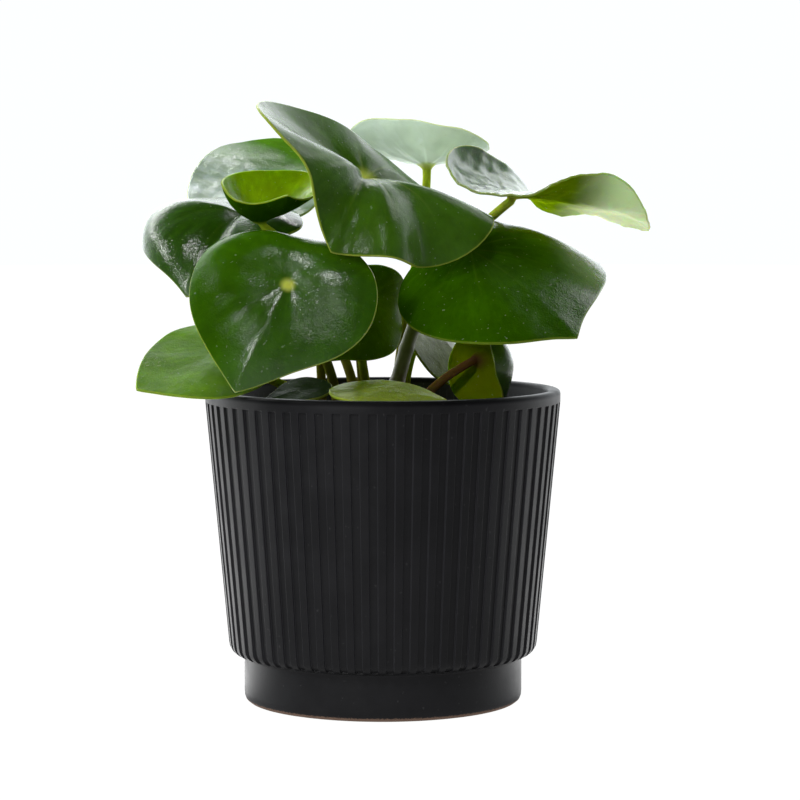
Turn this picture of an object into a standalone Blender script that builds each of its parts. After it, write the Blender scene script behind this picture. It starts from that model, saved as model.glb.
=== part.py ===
"""Raindrop peperomia in a fluted ceramic pot.

The pot's axis is the Z axis and the pot stands on z = 0. The front, with the two big leaves, faces -Y.
The pot is given in metres. Places and sizes of the leaves are given in millimetres and turned into metres.
"""
from math import cos, exp, pi, radians, sin, sqrt

import bmesh
import bpy
from mathutils import Matrix, Vector

MM = 0.001
GAP = 0.0003            # air between pieces that touch on the real plant

# Pot: one piece of fired clay with a plain rim band, upright flutes and a narrower foot
RIM_RADIUS = 0.0675
POT_HEIGHT = 0.119
BODY_LOW_RADIUS = 0.0589
BODY_LOW_Z = 0.023      # the straight wall ends here and turns in to the foot
BEND_RADIUS = 0.005
FOOT_RADIUS = 0.0530
RIM_WALL = 0.0048
RIM_ROUND = 0.0015
FLOOR_THICK = 0.0065
FLUTES = 64
FLUTE_DEPTH = 0.0007
FLUTE_TOP_Z = 0.1143
FLUTE_OPENING = 0.52    # share of the pitch that is sunk, with its slopes
FLUTE_FLAT = 0.36       # share of the pitch that is the flat bottom of a flute
BEND_STEPS = ((0, FLUTE_DEPTH), (30, FLUTE_DEPTH), (62, FLUTE_DEPTH), (90, 0))  # degrees, flute depth

# Soil: fills the pot up to some way below the rim
SOIL_EDGE_Z = 0.104
SOIL_MOUND = 0.002
SOIL_BUMP = 0.0005
SOIL_SIDES = 32
HOLE_DEPTH = 0.008
CLEAR_OF_SOIL = 0.003   # stalks stand upright from their holes to this height

# Leaves: every blade hangs on its stalk at the hub, a third of the way from its broad end
BLADE_THICK = 0.001
SPOKES = 24
RINGS = 5
STALK_SIDES = 8
STALK_STEPS = 9
COLLAR = 0.0012         # how far under the blade the round stalk begins
SPOKE_CROWDING = 0.45   # draws the spokes together at the drip tip
HUB_SHIFT = 0.24        # how far the oval outline lies ahead of the hub, as a share of its half length
DRIP_LENGTH = 9         # length of the drawn-out tip in mm

# Stem: short main stem that leans to the right and carries the stalks of leaf_g and leaf_h
STEM_ROUTE = ((1, 0, 96.5), (1, 0, 107), (5, 1, 120), (10, 6, 137), (15, 12, 150))
STEM_RADII = (3.0, 2.6)
STEM_SIDES = 12

# hub, foot: places in mm. tip, up: where the drip tip and the upper face point at the hub.
# curls: how far each side bends up (+) or down (-) in degrees, from the tip round by the right.
# reach: how far each side reaches out, as a share of the plain oval; the rest likewise, or one value for all.
# dish: how steeply the blade rises around the hub. power: above 1 the bend sits near the margin.
# drip: length of the drawn-out tip in mm, if not the usual one.
# arrive: the way the stalk comes up to the hub, if not square to the blade. stalk: radii in mm.
LEAVES = {
    "leaf_a": dict(hub=(-7, -26, 198.5), tip=(-0.2, -0.85, -0.45), up=(0.32, -0.5, 0.8), length=78, width=101,
                   reach=(0.88, 1.05, 0.98, 1.07, 1.12, 1.04, 0.96, 1.05, 1.1, 0.98, 0.9, 0.82),
                   dish=(45, 45, 45, 30, 5, 15, 20, 15, 5, 10, 45, 60),
                   curls=(-62, -38, -62, -10, -30, -30, -17, 0, 15, 25, 16, -5),
                   foot=(-7, 2), stalk=(2.2, 1.7)),
    "leaf_b": dict(hub=(17, 35, 205), tip=(-0.3, 0.95, 0), up=(0, 0.12, 0.99), length=64, width=63,
                   reach=(1, 1, 1, 1, 1, 1, 1, 1, 0.95, 0.86, 0.87, 0.95), dish=8,
                   curls=(20, 25, 35, 60, 72, 84, 74, 62, 35, 25, 20, 18),
                   foot=(5, 9), stalk=(2.0, 1.6)),
    "leaf_c": dict(hub=(-33, -55, 162), tip=(-0.44, -0.26, -0.86), up=(-0.05, -0.9, 0.3), length=69, width=73,
                   reach=(1.02, 0.87, 0.87, 0.96, 1.07, 1.12, 1.1, 1.09, 1.07, 1.05, 1.02, 1.02),
                   dish=(22, 14, 12, 16, 20, 20, 20, 20, 20, 20, 20, 22),
                   curls=(-24, -20, -19, -18, -22, -45, -78, -104, -107, -67, -44, -26),
                   power=(1, 1, 1, 1, 1, 1, 1.5, 2, 3, 3, 3, 1),
                   foot=(-16.5, -10), arrive=(0.1, -0.9, 0.2), stalk=(1.9, 1.6)),
    "leaf_d": dict(hub=(-52.8, -8, 185), tip=(-0.48, -0.57, -0.66), up=(-0.38, -0.45, 0.81), length=70, width=76,
                   reach=(0.97, 0.95, 0.6, 0.74, 0.75, 0.85, 1, 1.04, 1.04, 1, 1.1, 1.12),
                   dish=(30, 20, 10, 5, 5, 5, 5, 5, 20, 45, 60, 50),
                   curls=(-36, -23, -25, -27, -47, -67, -69, -59, -39, -49, -68, -60),
                   power=(1, 1, 1, 1, 1, 1, 1, 1, 1.5, 3, 6, 5),
                   foot=(-17, -1), stalk=(1.9, 1.5)),
    "leaf_e": dict(hub=(-46.8, 52, 197), tip=(-0.63, -0.7, -0.33), up=(0.1, -0.5, 0.86), length=77, width=67,
                   hub_shift=0.1, reach=(0.99, 1.03, 0.95, 0.84, 0.82, 0.95, 1.2, 1.3, 1.12, 0.88, 0.78, 0.84),
                   dish=10, curls=(11, 5, 7, 11, 10, 1, -13, -11, -10, 0, 11, 15),
                   foot=(-10, 10), stalk=(1.9, 1.5)),
    "leaf_f": dict(hub=(-45.8, -29, 184), tip=(0.7, -0.7, 0), up=(0, -0.3, 0.95), length=47, width=44,
                   hub_shift=0, drip=4,
                   reach=(0.9, 1, 1.15, 1.4, 1.25, 1.25, 1.15, 0.95, 0.72, 0.62, 0.62, 0.72), dish=10,
                   curls=(72, 50, 36, 36, 48, 55, 65, 80, 82, 82, 84, 80),
                   foot=(-23, -4.5), stalk=(1.8, 1.5), arrive=(-0.9, 0.1, 0.45)),
    "leaf_g": dict(hub=(50.3, 10, 193), tip=(0.96, 0.1, -0.17), up=(0.2, 0, 1), length=86, width=60,
                   reach=(1.04, 0.98, 1.05, 0.95, 0.92, 1, 1.05, 1, 1, 1, 1.02, 1.12),
                   curls=(-45, -10, -25, 60, 100, 110, 60, 0, -20, 0, 50, 35), dish=5,
                   power=(7, 2, 2, 2, 2, 2, 2, 2, 2, 2, 2, 2),
                   foot=None, arrive=(0.5, -0.8, 0.4), stalk=(1.9, 1.7), drip=6),
    "leaf_h": dict(hub=(33, -16, 172), tip=(0.65, -0.45, -0.62), up=(0.05, -0.6, 0.75), length=88, width=84,
                   reach=(0.93, 1.03, 1.22, 1.24, 1.1, 0.88, 0.86, 0.88, 0.95, 0.95, 1, 1.06),
                   dish=10,
                   curls=(-13, -19, -37, -49, -53, -70, -85, -79, -67, -49, -25, -7),
                   foot=None, stalk=(2.1, 1.8), drip=13),
    "leaf_i": dict(hub=(-56, -18, 136), tip=(-0.68, -0.6, -0.42), up=(-0.2, -0.4, 0.9), length=66, width=66,
                   reach=(1.1, 1.13, 0.82, 0.67, 0.7, 0.78, 0.87, 1, 0.98, 0.83, 0.81, 0.92), dish=10,
                   curls=(9, -2, -30, -60, -70, -72, -68, -46, -15, 5, 14, 18),
                   foot=(-24, -12), stalk=(1.9, 1.6)),
    "leaf_j": dict(hub=(-7, -14, 153), tip=(-0.6, -0.1, -0.8), up=(0.45, -0.85, 0.25), length=44, width=43,
                   reach=(0.97, 1, 1, 1.05, 1.25, 1.6, 1.25, 0.95, 0.95, 0.9, 0.82, 0.9), dish=10,
                   curls=(5, -5, -9, -30, -44, -28, 0, 10, 0, -20, -10, 0),
                   foot=(-5, -11), stalk=(1.8, 1.5), arrive=(0.3, -0.6, 0.7)),
    "leaf_k": dict(hub=(17, 34, 141), tip=(0.75, -0.1, -0.65), up=(0.5, -0.4, 0.75), length=46, width=36,
                   reach=(1, 1, 1, 1, 1, 1, 1, 1, 1.1, 1.25, 1.25, 1.1),
                   curls=(-40, -30, 0, 0, 0, 0, 0, -30), dish=5, hub_shift=0.4, foot=(8, 17), stalk=(1.8, 1.5)),
    "leaf_l": dict(hub=(36, -8, 131), tip=(0.6, 0.25, -0.7), up=(0.5, 0.8, 0.2), length=40, width=46,
                   reach=(1, 1, 0.8, 0.65, 0.7, 0.8, 0.9, 1, 1.2, 1.35, 1.4, 1.25),
                   curls=(-40, -20, -20, -20, -20, -20, -20, -40, -90, -140, -150, -100), dish=5, power=2,
                   foot=(12, -12), stalk=(1.8, 1.5)),
    "leaf_m": dict(hub=(-6, -46, 121), tip=(0.95, -0.1, -0.25), up=(0, -0.2, 0.95), length=44,
                   width=30, curls=(-10, 0, 0, 0, 0, 0, 0, -10), dish=5,
                   foot=(-2, -24), stalk=(1.6, 1.3)),
    "leaf_n": dict(hub=(-27, -32, 121.5), tip=(-0.8, -0.3, -0.3), up=(-0.1, -0.3, 0.95), length=30,
                   width=24, curls=(-10, 0, 0, 0, 0, 0, 0, -10), dish=5,
                   foot=(-17, -20), stalk=(1.5, 1.2)),
}


def clear_scene():
    for old in list(bpy.data.objects):
        bpy.data.objects.remove(old, do_unlink=True)


def make_material(name, colour, roughness):
    material = bpy.data.materials.new(name)
    material.use_nodes = True
    shader = material.node_tree.nodes["Principled BSDF"]
    shader.inputs["Base Color"].default_value = (*colour, 1)
    shader.inputs["Roughness"].default_value = roughness
    shader.inputs["Metallic"].default_value = 0
    return material


def make_object(name, bm, material):
    bmesh.ops.recalc_face_normals(bm, faces=bm.faces)
    mesh = bpy.data.meshes.new(name)
    bm.to_mesh(mesh)
    bm.free()
    mesh.shade_smooth()
    mesh.set_sharp_from_angle(angle=radians(40))
    mesh.materials.append(material)
    thing = bpy.data.objects.new(name, mesh)
    bpy.context.collection.objects.link(thing)
    return thing


def round_ring(bm, radius, z, count):
    turns = (2 * pi * i / count for i in range(count))
    return [bm.verts.new((radius * cos(a), radius * sin(a), z)) for a in turns]


def join_rings(bm, many, few):
    """Skins the band between two rings. The first has as many points as the second or a multiple."""
    step = len(many) // len(few)
    for i, point in enumerate(many):
        after = many[(i + 1) % len(many)]
        near = few[i // step]
        bm.faces.new((point, after, near))
        if i % step == step - 1:
            bm.faces.new((after, few[(i // step + 1) % len(few)], near))


def close_ring(bm, ring, place):
    middle = bm.verts.new(place)
    for i, point in enumerate(ring):
        bm.faces.new((point, ring[(i + 1) % len(ring)], middle))


def flute_angles():
    """Four angles a flute: outer lip, start of the flat, end of the flat, outer lip."""
    pitch = 2 * pi / FLUTES
    offsets = (-FLUTE_OPENING / 2, -FLUTE_FLAT / 2, FLUTE_FLAT / 2, FLUTE_OPENING / 2)
    return [(i + offset + 0.5) * pitch for i in range(FLUTES) for offset in offsets]


def fluted_ring(bm, radius, z, sunk_radius, sunk_z):
    """Ring of four points a flute, the two middle ones at the sunk place."""
    ring = []
    for i, a in enumerate(flute_angles()):
        r, height = (sunk_radius, sunk_z) if i % 4 in (1, 2) else (radius, z)
        ring.append(bm.verts.new((r * cos(a), r * sin(a), height)))
    return ring


def flute_heads(bm, band):
    """Squared upper ends of the flutes: small ledges under the rim band."""
    share = 1 - FLUTE_DEPTH / RIM_RADIUS
    start = list(band)
    for i, point in enumerate(band):
        if i % 4 in (1, 2):
            start[i] = bm.verts.new((point.co.x * share, point.co.y * share, FLUTE_TOP_Z))
    for i in range(0, len(band), 4):
        bm.faces.new((band[i], band[i + 1], start[i + 1]))
        bm.faces.new((band[i + 1], band[i + 2], start[i + 2], start[i + 1]))
        bm.faces.new((band[i + 2], band[i + 3], start[i + 2]))
    return start


def pot_outside(bm):
    """The fluted wall from the rim band down round the bend to the foot."""
    band = fluted_ring(bm, RIM_RADIUS, FLUTE_TOP_Z, RIM_RADIUS, FLUTE_TOP_Z)
    above = flute_heads(bm, band)
    centre = BODY_LOW_RADIUS - BEND_RADIUS
    for turn, depth in BEND_STEPS:
        reach = BEND_RADIUS - depth
        c, s = cos(radians(turn)), sin(radians(turn))
        ring = fluted_ring(bm, centre + BEND_RADIUS * c, BODY_LOW_Z - BEND_RADIUS * s,
                           centre + reach * c, BODY_LOW_Z - reach * s)
        join_rings(bm, above, ring)
        above = ring
    return band, above


def make_pot():
    bm = bmesh.new()
    band, bend_end = pot_outside(bm)
    rim_inner = RIM_RADIUS - RIM_WALL
    top = POT_HEIGHT
    lip = ((RIM_RADIUS, top - RIM_ROUND), (RIM_RADIUS - 0.3 * RIM_ROUND, top - 0.3 * RIM_ROUND),
           (RIM_RADIUS - RIM_ROUND, top), (rim_inner + RIM_ROUND, top),
           (rim_inner + 0.3 * RIM_ROUND, top - 0.3 * RIM_ROUND), (rim_inner, top - RIM_ROUND))
    previous = band
    for radius, z in lip + pot_hollow():
        ring = round_ring(bm, radius, z, FLUTES)
        join_rings(bm, previous, ring)
        previous = ring
    close_ring(bm, previous, (0, 0, FLOOR_THICK))
    foot_top = BODY_LOW_Z - BEND_RADIUS
    foot = ((FOOT_RADIUS, foot_top - 0.0005), (FOOT_RADIUS, 0.003), (FOOT_RADIUS - 0.0009, 0.0009),
            (FOOT_RADIUS - 0.003, 0))
    previous = bend_end
    for radius, z in foot:
        ring = round_ring(bm, radius, z, FLUTES)
        join_rings(bm, previous, ring)
        previous = ring
    close_ring(bm, previous, (0, 0, 0))
    return make_object("pot", bm, make_material("black_clay", (0.022, 0.023, 0.024), 0.55))


def pot_hollow():
    """Inside of the pot below the lip, as radius and height from the top down."""
    return ((0.0545, 0.030), (0.0482, 0.019), (0.0472, 0.009), (0.0445, FLOOR_THICK))


def soil_top(x, y):
    """Height of the soil: a low mound with small lumps."""
    share = min(1, sqrt(x * x + y * y) / 0.06)
    lumps = sin(x * 230 + 1) * cos(y * 260) + 0.6 * sin(x * 410 + y * 370)
    return SOIL_EDGE_Z + SOIL_MOUND * (1 - share ** 2) + SOIL_BUMP * lumps * (1 - share ** 4)


def make_soil(holes):
    bm = bmesh.new()
    rim_inner = RIM_RADIUS - RIM_WALL
    wall = ((rim_inner, POT_HEIGHT - RIM_ROUND),) + pot_hollow()
    slope = (wall[0][0] - wall[1][0]) / (wall[0][1] - wall[1][1])
    edge_radius = wall[1][0] + (SOIL_EDGE_Z - wall[1][1]) * slope
    room = GAP * 1.5
    sides = [(edge_radius - room, SOIL_EDGE_Z)] + [(r - room, z) for r, z in wall[1:-1]]
    sides.append((wall[-1][0] - room, FLOOR_THICK + GAP))
    inward = [ring * edge_radius for ring in (0.82, 0.64, 0.46, 0.28, 0.12)]
    ring = None
    for radius in inward[::-1]:
        after = round_ring(bm, radius, 0, SOIL_SIDES)
        for point in after:
            point.co.z = soil_top(point.co.x, point.co.y)
        if ring:
            join_rings(bm, ring, after)
        else:
            close_ring(bm, after, (0, 0, soil_top(0, 0)))
        ring = after
    for radius, z in sides:
        after = round_ring(bm, radius, z, SOIL_SIDES)
        join_rings(bm, ring, after)
        ring = after
    close_ring(bm, ring, (0, 0, FLOOR_THICK + GAP))
    soil = make_object("soil", bm, make_material("potting_soil", (0.045, 0.03, 0.02), 0.95))
    cutter = make_hole_cutter(holes)
    cut = soil.modifiers.new("planting holes", "BOOLEAN")
    cut.operation = "DIFFERENCE"
    cut.solver = "EXACT"
    cut.object = cutter
    return soil


def make_hole_cutter(holes):
    """Upright plugs that cut the holes in which the stem and the stalks stand."""
    bm = bmesh.new()
    for x, y, radius in holes:
        low, high = SOIL_EDGE_Z - HOLE_DEPTH, SOIL_EDGE_Z + 0.01
        bmesh.ops.create_cone(bm, cap_ends=True, segments=10, radius1=radius, radius2=radius,
                              depth=high - low, matrix=Matrix.Translation((x, y, (low + high) / 2)))
    cutter = make_object("soil_holes", bm, make_material("cutter", (0.5, 0.5, 0.5), 0.5))
    cutter.hide_render = True
    cutter.display_type = "WIRE"
    return cutter


def at_compass(values, angle):
    """Smooth reading between values that stand evenly round a circle. A single value holds all round."""
    if not isinstance(values, tuple):
        return values
    place = (angle / (2 * pi)) % 1 * len(values)
    first = int(place)
    t = place - first
    a, b, c, d = (values[(first + k) % len(values)] for k in (-1, 0, 1, 2))
    return b + 0.5 * t * (c - a + t * (2 * a - 5 * b + 4 * c - d + t * (3 * (b - c) + d - a)))


def outline(leaf, angle):
    """Distance from the hub to the margin: an oval ahead of the hub with a short drip tip."""
    half_length = (leaf["length"] - DRIP_LENGTH) / 2
    half_width = leaf["width"] / 2
    ahead = half_length * leaf.get("hub_shift", HUB_SHIFT)
    c, s = cos(angle), sin(angle)
    square = (c / half_length) ** 2 + (s / half_width) ** 2
    slant = -2 * ahead * c / half_length ** 2
    rest = (ahead / half_length) ** 2 - 1
    oval = (-slant + sqrt(slant * slant - 4 * square * rest)) / (2 * square)
    turn = abs((angle + pi) % (2 * pi) - pi)
    drip = leaf.get("drip", DRIP_LENGTH) * (0.62 * exp(-(turn / 0.16) ** 1.2) + 0.38 * exp(-(turn / 0.5) ** 2))
    return oval * at_compass(leaf.get("reach", 1), angle) + drip


def leaf_axes(leaf):
    """Directions at the hub: to the drip tip, to the side and out of the upper face."""
    up = Vector(leaf["up"]).normalized()
    tip = Vector(leaf["tip"])
    tip = (tip - up * tip.dot(up)).normalized()
    return tip, up.cross(tip), up


def spoke_angle(i):
    turn = 2 * pi * i / SPOKES
    return turn - SPOKE_CROWDING * sin(turn)


def spoke_points(leaf, angle):
    """Upper face along one spoke: its length is kept while it bends up or down."""
    tip, side, up = leaf_axes(leaf)
    hub = Vector(leaf["hub"]) * MM
    away = tip * cos(angle) + side * sin(angle)
    reach = outline(leaf, angle) * MM
    curl = radians(at_compass(leaf["curls"], angle))
    dish = radians(at_compass(leaf["dish"], angle))
    power = at_compass(leaf.get("power", 1), angle)
    parts = 4 * RINGS
    out = rise = 0
    points = []
    for k in range(parts):
        share = (k + 0.5) / parts
        tilt = dish * (1 - share) ** 2 + curl * share ** power
        out += reach / parts * cos(tilt)
        rise += reach / parts * sin(tilt)
        if k % 4 == 3:
            points.append(hub + away * out + up * rise)
    return points


def lower_face(upper, hub):
    """Points of the lower face, a blade's thickness under the upper ones."""
    lower = []
    for k, ring in enumerate(upper):
        inner = upper[k - 1] if k else [hub] * SPOKES
        outer = upper[min(k + 1, RINGS - 1)]
        row = []
        for j, point in enumerate(ring):
            along = outer[j] - inner[j]
            around = ring[(j + 1) % SPOKES] - ring[j - 1]
            row.append(point - along.cross(around).normalized() * BLADE_THICK)
        lower.append(row)
    return lower


def bezier(a, b, c, d, t):
    return a * (1 - t) ** 3 + b * 3 * t * (1 - t) ** 2 + c * 3 * t * t * (1 - t) + d * t ** 3


def stalk_path(leaf):
    """Middle line of the stalk, from just under the hub down to its foot."""
    up = Vector(leaf["up"]).normalized()
    top = Vector(leaf["hub"]) * MM - up * (BLADE_THICK + COLLAR)
    foot, start = leaf["foot_place"], leaf["foot_direction"]
    span = (top - foot).length
    arrive = Vector(leaf.get("arrive", leaf["up"])).normalized()
    return [bezier(top, top - arrive * span * 0.3, foot + start * span * 0.35, foot, i / (STALK_STEPS - 1))
            for i in range(STALK_STEPS)]


def tube_rings(path, radii, first_side, sides):
    """Rings round a path, carried along it without twist."""
    rings = []
    across = first_side
    for i, place in enumerate(path):
        along = (path[min(i + 1, len(path) - 1)] - path[max(i - 1, 0)]).normalized()
        across = (across - along * across.dot(along)).normalized()
        other = along.cross(across)
        share = i / (len(path) - 1)
        radius = radii[0] + (radii[1] - radii[0]) * share
        rings.append([place + (across * cos(2 * pi * j / sides) + other * sin(2 * pi * j / sides)) * radius
                      for j in range(sides)])
    return rings


def make_leaf(name, leaf, material):
    """Blade and stalk as one body: upper face, margin, lower face, collar, stalk and foot."""
    hub = Vector(leaf["hub"]) * MM
    spokes = [spoke_points(leaf, spoke_angle(i)) for i in range(SPOKES)]
    upper = [[spoke[k] for spoke in spokes] for k in range(RINGS)]
    lower = lower_face(upper, hub)
    foot_radius, hub_radius = (r * MM for r in leaf["stalk"])
    stalk = tube_rings(stalk_path(leaf), (hub_radius, foot_radius), leaf_axes(leaf)[0], STALK_SIDES)
    stalk = [[ring[-j] for j in range(STALK_SIDES)] for ring in stalk]
    if leaf["foot"]:
        stalk.append([Vector((p.x, p.y, SOIL_EDGE_Z - HOLE_DEPTH + GAP)) for p in stalk[-1]])
    bm = bmesh.new()
    rings = [[bm.verts.new(p) for p in ring] for ring in upper + lower[::-1] + stalk]
    close_ring(bm, rings[0], hub)
    for one, two in zip(rings, rings[1:]):
        join_rings(bm, one, two)
    foot_middle = sum((p.co for p in rings[-1]), Vector()) / STALK_SIDES
    close_ring(bm, rings[-1], foot_middle)
    return make_object(name, bm, material)


def stem_line():
    return [Vector(place) * MM for place in STEM_ROUTE]


def make_stem(material):
    bm = bmesh.new()
    radii = [r * MM for r in STEM_RADII]
    rings = [[bm.verts.new(p) for p in ring]
             for ring in tube_rings(stem_line(), radii, Vector((1, 0, 0)), STEM_SIDES)]
    close_ring(bm, rings[0], stem_line()[0])
    for one, two in zip(rings, rings[1:]):
        join_rings(bm, one, two)
    close_ring(bm, rings[-1], stem_line()[-1])
    return make_object("stem", bm, material)


def plant_feet():
    """Settles where each stalk stands: upright in the soil, or on the main stem."""
    for leaf in LEAVES.values():
        if leaf["foot"]:
            x, y = leaf["foot"]
            leaf["foot_place"] = Vector((x * MM, y * MM, SOIL_EDGE_Z + CLEAR_OF_SOIL))
            leaf["foot_direction"] = Vector((0, 0, 1))
    line = stem_line()
    stem_end = (line[-1] - line[-2]).normalized()
    LEAVES["leaf_g"]["foot_place"] = line[-1] + stem_end * 1.7 * GAP
    LEAVES["leaf_g"]["foot_direction"] = stem_end
    outward = Vector((0.9, -0.4, 0))
    outward = (outward - stem_end * outward.dot(stem_end)).normalized()
    leave = (outward + stem_end * 0.6).normalized()
    stand_off = STEM_RADII[1] * MM + GAP + LEAVES["leaf_h"]["stalk"][0] * MM * leave.dot(stem_end)
    LEAVES["leaf_h"]["foot_place"] = line[-2] + (line[-1] - line[-2]) * 0.45 + outward * stand_off
    LEAVES["leaf_h"]["foot_direction"] = leave


def build():
    clear_scene()
    plant_feet()
    make_pot()
    holes = [(leaf["foot"][0] * MM, leaf["foot"][1] * MM, leaf["stalk"][0] * MM + 1.3 * GAP)
             for leaf in LEAVES.values() if leaf["foot"]]
    holes.append((STEM_ROUTE[0][0] * MM, STEM_ROUTE[0][1] * MM, STEM_RADII[0] * MM + 1.3 * GAP))
    make_soil(holes)
    make_stem(make_material("stem_green", (0.12, 0.13, 0.04), 0.6))
    blade = make_material("leaf_green", (0.035, 0.12, 0.02), 0.35)
    for name, leaf in LEAVES.items():
        make_leaf(name, leaf, blade)


build()
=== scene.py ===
import random
from math import atan2, cos, floor, hypot, pi, radians, sin

import bmesh
import bpy
import numpy as np
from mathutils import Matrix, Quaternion, Vector, noise


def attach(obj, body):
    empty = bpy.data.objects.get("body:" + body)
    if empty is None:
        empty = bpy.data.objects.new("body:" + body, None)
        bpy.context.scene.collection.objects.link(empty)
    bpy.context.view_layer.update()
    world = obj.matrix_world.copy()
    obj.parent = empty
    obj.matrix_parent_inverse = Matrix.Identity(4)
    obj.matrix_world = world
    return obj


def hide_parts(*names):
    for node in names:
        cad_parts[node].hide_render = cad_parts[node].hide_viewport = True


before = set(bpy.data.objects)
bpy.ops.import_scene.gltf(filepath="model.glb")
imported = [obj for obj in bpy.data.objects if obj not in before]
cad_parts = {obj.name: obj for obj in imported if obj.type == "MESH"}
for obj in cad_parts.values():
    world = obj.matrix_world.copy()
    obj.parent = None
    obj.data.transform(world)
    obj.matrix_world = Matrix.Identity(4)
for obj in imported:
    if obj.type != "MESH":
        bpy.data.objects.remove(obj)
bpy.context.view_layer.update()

# Pot. One piece of slip-cast clay with a matte black glaze, fluted all round under a plain rim band.
# The upright edges of the flutes are painted a little lighter as a highlight, and the top of the rim is
# painted darker as shade. The glaze was wiped off where the foot stands, so a thin line of brown clay shows
# there.
FLUTES = 64
COLUMNS = 2 * FLUTES
FLUTE_TOP = 0.1143
FLUTE_LOW = 0.0182
FLUTE_DEPTH = 0.0008
FLUTE_SOFT = 0.00038
SHARP_EDGE = radians(35)
STAND_RADIUS = 0.0500
FOOT_PROFILE = ((0.0514, 0.0003), (0.0524, 0.0011), (0.0529, 0.0024), (0.0530, 0.0040), (0.0530, 0.0169),
                (0.0531, 0.0175), (0.0535, 0.0179))
BEND_CENTRE = (0.0539, 0.0230)
BEND_RADIUS = 0.0050
BEND_TURNS = [radians(degrees) for degrees in (6, 22, 38, 54, 70, 90)]
RIM_PROFILE = ((0.0675, 0.1143), (0.0675, 0.1174), (0.0673, 0.1182), (0.0668, 0.1188), (0.0660, 0.1190),
               (0.0642, 0.1190), (0.0634, 0.1188), (0.0629, 0.1182), (0.0627, 0.1174))
HOLLOW_PROFILE = ((0.0545, 0.0300), (0.0482, 0.0190), (0.0472, 0.0090), (0.0445, 0.0065))
RIM_DARKENS = (0.1165, 0.118)
CLAY_ENDS = (0.0012, 0.0018)
CLAY_RAGGED = 0.0012
EDGE_HIGHLIGHT_LINE = (0.02, 0.1)
EDGE_HIGHLIGHT_SHARE = 0.75
EDGE_HIGHLIGHT_STARTS = 0.003
EDGE_HIGHLIGHT_STOPS = 0.0003
DEEP_GLAZE = (0.0072, 0.0072, 0.0084)
CLOUDED_GLAZE = (0.0115, 0.0115, 0.0132)
PAINTED_EDGE_HIGHLIGHT = (0.03, 0.03, 0.034)
PAINTED_RIM_SHADE = (0.002, 0.002, 0.002)
SETTLED_DUST = (0.05, 0.05, 0.052)
BARE_CLAY = (0.22, 0.14, 0.1)


def new_material(name):
    material = bpy.data.materials.new(name)
    material.use_nodes = True
    tree = material.node_tree
    return material, tree, tree.nodes["Principled BSDF"]


def add_node(tree, kind, settings=None, **inputs):
    """A node whose sockets are given by name or as i and a number: a value, or an output to link."""
    node = tree.nodes.new(kind)
    for key, value in (settings or {}).items():
        setattr(node, key, value)
    for key, value in inputs.items():
        socket = node.inputs[int(key[1:])] if key[0] == "i" and key[1:].isdigit() else node.inputs[key]
        if isinstance(value, bpy.types.NodeSocket):
            tree.links.new(value, socket)
        else:
            socket.default_value = value
    return node


def reckon(tree, operation, *values):
    """One step of arithmetic on numbers and outputs."""
    inputs = {f"i{k}": value for k, value in enumerate(values)}
    return add_node(tree, "ShaderNodeMath", {"operation": operation}, **inputs).outputs[0]


def times(tree, first, second):
    return reckon(tree, "MULTIPLY", first, second)


def plus(tree, first, second):
    return reckon(tree, "ADD", first, second)


def fade(tree, value, low, high, to_low=0.0, to_high=1.0):
    """Smooth change from one amount to another while a value goes from low to high."""
    inputs = {"Value": value, "From Min": low, "From Max": high, "To Min": to_low, "To Max": to_high}
    return add_node(tree, "ShaderNodeMapRange", {"interpolation_type": "SMOOTHSTEP"}, **inputs).outputs[0]


def blend_colour(tree, share, first, second):
    """First colour where the share is 0, second where it is 1."""
    first, second = (c if isinstance(c, bpy.types.NodeSocket) else (*c, 1) for c in (first, second))
    return add_node(tree, "ShaderNodeMix", {"data_type": "RGBA"}, i0=share, i6=first, i7=second).outputs[2]


def speckle(tree, place, scale, detail, roughness):
    """Cloudy pattern between 0 and 1. At a scale of 1000 its patches are about 1 mm across."""
    return add_node(tree, "ShaderNodeTexNoise", Vector=place, Scale=scale, Detail=detail,
                    Roughness=roughness).outputs["Fac"]


def object_place(tree):
    return add_node(tree, "ShaderNodeTexCoord").outputs["Object"]


def parts_of(tree, vector):
    """The X, Y and Z of a vector."""
    return add_node(tree, "ShaderNodeSeparateXYZ", Vector=vector).outputs[:3]


def bumps(tree, height, strength, depth, **below):
    bump = add_node(tree, "ShaderNodeBump", Height=height, Strength=strength, Distance=depth, **below)
    return bump.outputs[0]


def flute_edge_highlights(tree, x, y, height):
    """How strongly the painted highlight shows: most on the upright edges of the flutes, and not at all past
    their ends.
    """
    column = reckon(tree, "MULTIPLY_ADD", reckon(tree, "ARCTAN2", y, x), COLUMNS / (2 * pi), 0.5)
    edges = fade(tree, reckon(tree, "PINGPONG", column, 0.5), *EDGE_HIGHLIGHT_LINE, EDGE_HIGHLIGHT_SHARE, 0)
    edges = times(tree, edges, fade(tree, height, FLUTE_LOW, FLUTE_LOW + EDGE_HIGHLIGHT_STARTS))
    return times(tree, edges, fade(tree, height, FLUTE_TOP, FLUTE_TOP + EDGE_HIGHLIGHT_STOPS, 1, 0))


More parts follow.
